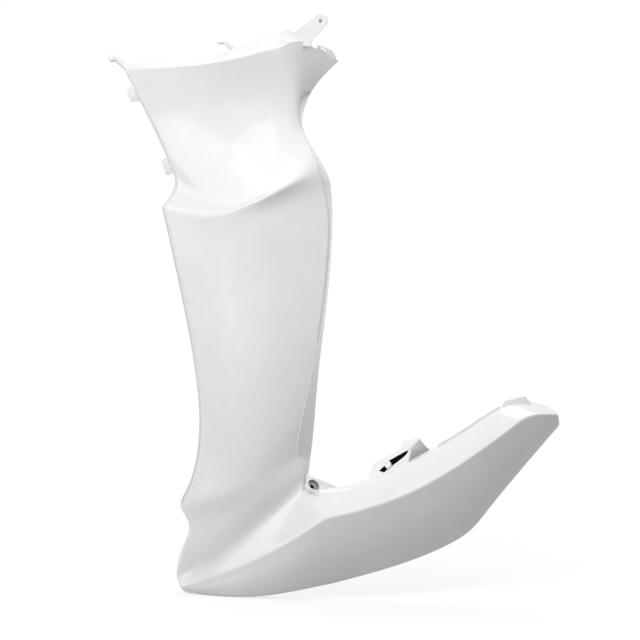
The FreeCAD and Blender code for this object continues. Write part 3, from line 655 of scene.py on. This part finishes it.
# Hooks: two round canes moulded on the lip, bent to the front, that catch in slots of the front cover.
# Each is a bar, a bend of 60 degrees and a ball end; its sizes are length and radius of the bar,
# and radius of the bend.
HOOK_SWEEP, HOOK_LEAN, HOOK_BALL = 60, 40, 1.18
HOOK_FRONT, HOOK_FRONT_INSET = (14, 3.9, 6), 2.6
HOOK_TOP, HOOK_TOP_FORWARD, HOOK_TOP_DROP, HOOK_TOP_ALONG = (19, 2.8, 8), 68, 19, 0.75
BAR_STEPS, BEND_STEPS, CANE_SIDES, BALL_SIDES, BALL_RINGS = 6, 16, 20, 24, 14


def cane_tree():
    """Node tree that sweeps a round bar along a curve and puts a ball on its end."""
    tree, given = new_tree("cane_hook", ("Bar Radius", "Ball Radius"))
    nodes, links = tree.nodes, tree.links
    ring = nodes.new("GeometryNodeCurvePrimitiveCircle")
    ring.inputs["Resolution"].default_value = CANE_SIDES
    links.new(given.outputs["Bar Radius"], ring.inputs["Radius"])
    bar = nodes.new("GeometryNodeCurveToMesh")
    bar.inputs["Fill Caps"].default_value = True
    links.new(given.outputs["Geometry"], bar.inputs["Curve"])
    links.new(ring.outputs["Curve"], bar.inputs["Profile Curve"])
    tip = nodes.new("GeometryNodeCurveEndpointSelection")
    tip.inputs["Start Size"].default_value = 0
    tip.inputs["End Size"].default_value = 1
    ball = nodes.new("GeometryNodeMeshUVSphere")
    ball.inputs["Segments"].default_value = BALL_SIDES
    ball.inputs["Rings"].default_value = BALL_RINGS
    links.new(given.outputs["Ball Radius"], ball.inputs["Radius"])
    put = nodes.new("GeometryNodeInstanceOnPoints")
    links.new(given.outputs["Geometry"], put.inputs["Points"])
    links.new(tip.outputs["Selection"], put.inputs["Selection"])
    links.new(ball.outputs["Mesh"], put.inputs["Instance"])
    both = nodes.new("GeometryNodeJoinGeometry")
    links.new(bar.outputs["Mesh"], both.inputs["Geometry"])
    links.new(put.outputs["Instances"], both.inputs["Geometry"])
    return end_tree(tree, given, both.outputs["Geometry"])


CANE = cane_tree()


def cane(name, path, radius, ball):
    """A round bar along a path, with a ball on its end."""
    bm = grown(name, [[p * MM for p in path]], CANE, {"Bar Radius": radius * MM, "Ball Radius": ball * MM,
                                                      "Material": white})
    return finished(name, bm, white)


def hook(name, root, bar, radius, bend):
    """A cane that leans to the front from its root and bends over."""
    lean = math.radians(HOOK_LEAN)
    along = np.array((-math.cos(lean), 0, math.sin(lean)))
    over = np.array((-math.sin(lean), 0, -math.cos(lean)))
    path = [np.array(root, float) + along * bar * s for s in np.linspace(0, 1, BAR_STEPS)]
    for turn in np.radians(np.linspace(0, HOOK_SWEEP, BEND_STEPS))[1:]:
        path.append(root + along * (bar + bend * math.sin(turn)) + over * bend * (1 - math.cos(turn)))
    return cane(name, path, radius, radius * HOOK_BALL)


front_corner = SECTIONS["wing_top"][0]
hook("hook_front", (front_corner[0] + HOOK_FRONT_INSET, front_corner[1] + LIP_RUN - HOOK_FRONT_INSET,
                    front_corner[2]), *HOOK_FRONT)
lip_y = front_corner[1] + (wing_corner[1] - front_corner[1]) * HOOK_TOP_ALONG
hook("hook_top", (wing_corner[0] - HOOK_TOP_FORWARD, lip_y + LIP_RUN, wing_corner[2] - HOOK_TOP_DROP),
     *HOOK_TOP)

# Bead: a thin raised line down the leg's rear edge, from the shin to the screw lug, moulded with the shell.
# It follows the middle of the rolled edge, half sunk in the skin.
BEAD_RADIUS, BEAD_SPAN, BEAD_STEPS, BEAD_SKIP = 0.9, (7.6, 11.6), 40, 4
edge_line = column(upper, -1)
fold = np.array([points[k] / 4 + points[corner[k]] / 2 + points[roll_end[k]] / 4 for k in edge_line])
start, end = (int(t * BEAD_STEPS) for t in BEAD_SPAN)
bead_path = (spline_basis(len(edge_line), BEAD_STEPS) @ fold)[start:end + 1:BEAD_SKIP]
cane("edge_bead", bead_path, BEAD_RADIUS, BEAD_RADIUS)

# Slotted bracket: a plate that leans inboard over the seat line, moulded with the shell.
# It has a blind slot, a gusset and a round pin, and the floor board's side clip goes over the pin.
BRACKET = [(-3, -5), (3.2, 5.5), (19.7, 21.9), (57.3, 22.3), (65.4, 30.7), (82.8, 23.4), (69, 14.3),
           (59.9, 4.2), (55, -8)]
SLOT = [(21.7, 9.8), (29.1, 12.2), (39.8, 15.9), (63.4, 16.2), (65, 14.5), (58.1, 10.8), (41.5, 7.7),
        (26.2, 4.6)]
SLOT_BOX = [(16.3, 10), (30.5, 16.8), (63, 21.2), (68.5, 13.5), (58, 4.6), (24.8, 1.6)]
GUSSET = [(-2, 1), (8.5, 13.5), (22.5, 0.1), (31.7, -7.2), (5.9, -23.8), (-1.4, -14.5)]
BRACKET_WALL, BRACKET_TILT, BRACKET_SHIFT = 3, 40, (-14, 4, -8)
SLOT_DEPTH, SLOT_OVERCUT, BOX_FLOOR = 14, 2, 2
GUSSET_WALL, GUSSET_YAW, GUSSET_TILT, GUSSET_CORNER = 3, 32, 19.3, 6
PIN, PIN_RADIUS, PIN_HEIGHT, BRACKET_BEVEL = (35, 10.2), 4.2, 4, 0.3
seat_way = unit(np.array(SEAT[3], float) - np.array(SEAT[1], float))
leaning = unit(np.cross(seat_way, (0, 1, 0)))
upright = Matrix.Rotation(math.radians(-BRACKET_TILT), 3, Vector(seat_way)) @ Vector(leaning)
facing = Matrix((Vector(seat_way), upright.cross(Vector(seat_way)), upright)).transposed()
bracket_place = set_at([at + shift for at, shift in zip(SEAT[1], BRACKET_SHIFT)], facing)
gusset_along, gusset_up = BRACKET[GUSSET_CORNER]
gusset_root = bracket_place @ Vector((gusset_along * MM, 0, gusset_up * MM))
gusset_place = set_at(gusset_root / MM, Matrix.Rotation(math.radians(GUSSET_YAW), 3, "Z")
                      @ Matrix.Rotation(math.radians(GUSSET_TILT), 3, "X"))
carved("slotted_bracket",
       [plate(BRACKET, BRACKET_WALL, bracket_place),
        plate(SLOT_BOX, SLOT_DEPTH + BOX_FLOOR, bracket_place),
        plate(GUSSET, GUSSET_WALL, gusset_place)],
       [plate(SLOT, SLOT_DEPTH + SLOT_OVERCUT, bracket_place, -SLOT_OVERCUT)],
       [rod(PIN_RADIUS, -PIN_HEIGHT, SLOT_DEPTH + BOX_FLOOR / 2, bracket_place, PIN)],
       bevel=BRACKET_BEVEL)

# Rear tongue: a flat tab on the seat line near the tip, moulded with the shell.
# It goes under the rear cover.
TONGUE = [(4, -3), (7, 7), (32, 13), (41, 2), (41, -3)]
TONGUE_WALL, TONGUE_INSET, TONGUE_BEVEL = 4, 7, 0.6
x, y, z = SEAT[4]
tongue_place = set_at((x, y + TONGUE_INSET, z), Matrix.Identity(3))
carved("rear_tongue", [plate(TONGUE, TONGUE_WALL, tongue_place)], bevel=TONGUE_BEVEL)

# Spring clip: a short slotted plate behind the wing's rear corner, moulded with the shell.
# It grips the inner shield.
CLIP = [(-27, 13), (-25, 19), (-8, 12.5), (-2.5, 3.5), (-6, -1)]
CLIP_SLOT = [(-23, 15.5), (-22.5, 17), (-14.5, 13), (-15, 11.5)]
CLIP_WALL = 3
flare, back, drop = SECTIONS["wing_top"][2]
clip_place = set_at((wing_corner[0] + flare, wing_corner[1] + back - CLIP_WALL, wing_corner[2] + drop),
                    Matrix.Identity(3))
carved("spring_clip", [plate(CLIP, CLIP_WALL, clip_place)],
       [plate(CLIP_SLOT, 3 * CLIP_WALL, clip_place, -CLIP_WALL)])

# Studio: a plain pale floor under the toe, a white surround and soft boxes all round the panel.
# Two dark cards behind it are seen only in its gloss. The camera stands where the photograph
# was taken from.
FLOOR_Z, FLOOR_REACH = cad_box[0][2], 6
FLOOR_GLOW = {"From Min": 0.3, "From Max": 3, "To Min": 0.735, "To Max": 0.93}
FLOOR_GREY, FLOOR_GREY_SEEN, SURROUND = 0.45, 0.3, 0.38
CARDS, CARD_Y, CARD_TOP, CARD_GREY = {"left": (-0.62, -2.2), "right": (0.75, 1.6)}, 0.9, 1.4, 0.03


def seen_rays(nodes, links):
    """1 on the rays that show the white surround: straight, mirrored or through something clear."""
    path = nodes.new("ShaderNodeLightPath")
    either = path.outputs["Is Camera Ray"]
    for kind in ("Is Glossy Ray", "Is Transmission Ray"):
        node = nodes.new("ShaderNodeMath")
        node.operation = "MAXIMUM"
        links.new(either, node.inputs[0])
        links.new(path.outputs[kind], node.inputs[1])
        either = node.outputs[0]
    return either


def sheet(name, corners, material):
    """A flat four-cornered sheet of the studio."""
    mesh = bpy.data.meshes.new(name)
    mesh.from_pydata(corners, [], [(0, 1, 2, 3)])
    mesh.materials.append(material)
    flat = bpy.data.objects.new(name, mesh)
    bpy.context.collection.objects.link(flat)
    return flat


pale = bpy.data.materials.new("pale_floor")
pale.use_nodes = True
nodes, links = pale.node_tree.nodes, pale.node_tree.links
nodes.remove(nodes["Principled BSDF"])
matt, shadow, glow = (nodes.new("ShaderNodeBsdfDiffuse"), nodes.new("ShaderNodeBsdfDiffuse"),
                      nodes.new("ShaderNodeEmission"))
matt.inputs["Color"].default_value = (FLOOR_GREY, FLOOR_GREY, FLOOR_GREY, 1)
shadow.inputs["Color"].default_value = (FLOOR_GREY_SEEN, FLOOR_GREY_SEEN, FLOOR_GREY_SEEN, 1)
# The floor's glow rises with distance as the lamps' light falls off, so all of it is white but the shadow.
spot, reach, even = (nodes.new("ShaderNodeTexCoord"), nodes.new("ShaderNodeVectorMath"),
                     nodes.new("ShaderNodeMapRange"))
reach.operation = "LENGTH"
links.new(spot.outputs["Object"], reach.inputs[0])
links.new(reach.outputs["Value"], even.inputs["Value"])
for socket, value in FLOOR_GLOW.items():
    even.inputs[socket].default_value = value
links.new(even.outputs["Result"], glow.inputs["Strength"])
lit = nodes.new("ShaderNodeAddShader")
links.new(shadow.outputs[0], lit.inputs[0])
links.new(glow.outputs[0], lit.inputs[1])
pick = nodes.new("ShaderNodeMixShader")
links.new(seen_rays(nodes, links), pick.inputs["Fac"])
links.new(matt.outputs[0], pick.inputs[1])
links.new(lit.outputs[0], pick.inputs[2])
links.new(pick.outputs[0], nodes["Material Output"].inputs["Surface"])
corners = ((-FLOOR_REACH, -FLOOR_REACH), (FLOOR_REACH, -FLOOR_REACH), (FLOOR_REACH, FLOOR_REACH),
           (-FLOOR_REACH, FLOOR_REACH))
floor = sheet("studio_floor", [(x, y, FLOOR_Z) for x, y in corners], pale)

world = bpy.data.worlds.new("white_studio")
bpy.context.scene.world = world
world.use_nodes = True
nodes, links = world.node_tree.nodes, world.node_tree.links
backdrop = nodes["Background"]
backdrop.inputs["Color"].default_value = (1, 1, 1, 1)
backdrop.inputs["Strength"].default_value = 1
surround = nodes.new("ShaderNodeBackground")
surround.inputs["Strength"].default_value = SURROUND
pick = nodes.new("ShaderNodeMixShader")
links.new(seen_rays(nodes, links), pick.inputs["Fac"])
links.new(surround.outputs[0], pick.inputs[1])
links.new(backdrop.outputs[0], pick.inputs[2])
links.new(pick.outputs[0], nodes["World Output"].inputs["Surface"])

# Dark cards behind the panel to the left and right draw its outline by reflection.
dark = bpy.data.materials.new("dark_card")
dark.use_nodes = True
dark_shader = dark.node_tree.nodes["Principled BSDF"]
dark_shader.inputs["Base Color"].default_value = (CARD_GREY, CARD_GREY, CARD_GREY, 1)
for side, (near, far) in CARDS.items():
    corners = ((near, FLOOR_Z), (far, FLOOR_Z), (far, CARD_TOP), (near, CARD_TOP))
    card = sheet("card_" + side, [(x, CARD_Y, z) for x, z in corners], dark)
    card.visible_camera = card.visible_diffuse = card.visible_shadow = False


def softbox(name, spot, aim, width, height, power):
    """A square-edged area lamp at a spot, turned to its aim."""
    lamp = bpy.data.lights.new(name, "AREA")
    lamp.shape = "RECTANGLE"
    lamp.size, lamp.size_y = width, height
    lamp.energy = power
    box = bpy.data.objects.new(name, lamp)
    box.location = spot
    box.rotation_euler = (Vector(aim) - Vector(spot)).to_track_quat("-Z", "Y").to_euler()
    bpy.context.collection.objects.link(box)


softbox("near_top", (-0.35, -0.75, 1.05), (-0.1, 0, 0.4), 1.1, 1.1, 4.8)
softbox("near_left", (-0.9, -1.1, 1.15), (-0.08, 0, 0.35), 1.0, 1.0, 4.5)
softbox("left", (-1.39, -0.8, 0.55), (-0.05, 0, 0.3), 0.8, 1.2, 6)
softbox("low_left", (-1.2, -1.6, 0.1), (0, 0, 0.1), 1.2, 1.2, 3.3)
softbox("rear_high", (0.1, 0.9, 1.9), (0, 0, 0.2), 1.4, 1.0, 12.5)
softbox("right_rear", (1.3, 0.7, 1.2), (0.1, 0, 0.1), 1.0, 1.0, 3)
softbox("right_wing", (0.85, -0.45, 1.2), (0, 0, 0.5), 0.6, 0.6, 4.4)

camera = bpy.data.objects.new("camera", bpy.data.cameras.new("camera"))
camera.data.sensor_width = 36
camera.data.lens = 131.25
camera.location = (0.0096, -2.78075, 0.59541)
camera.rotation_euler = (math.radians(82), 0, 0)
bpy.context.collection.objects.link(camera)
bpy.context.scene.camera = camera
bpy.context.scene.view_settings.view_transform = "Standard"
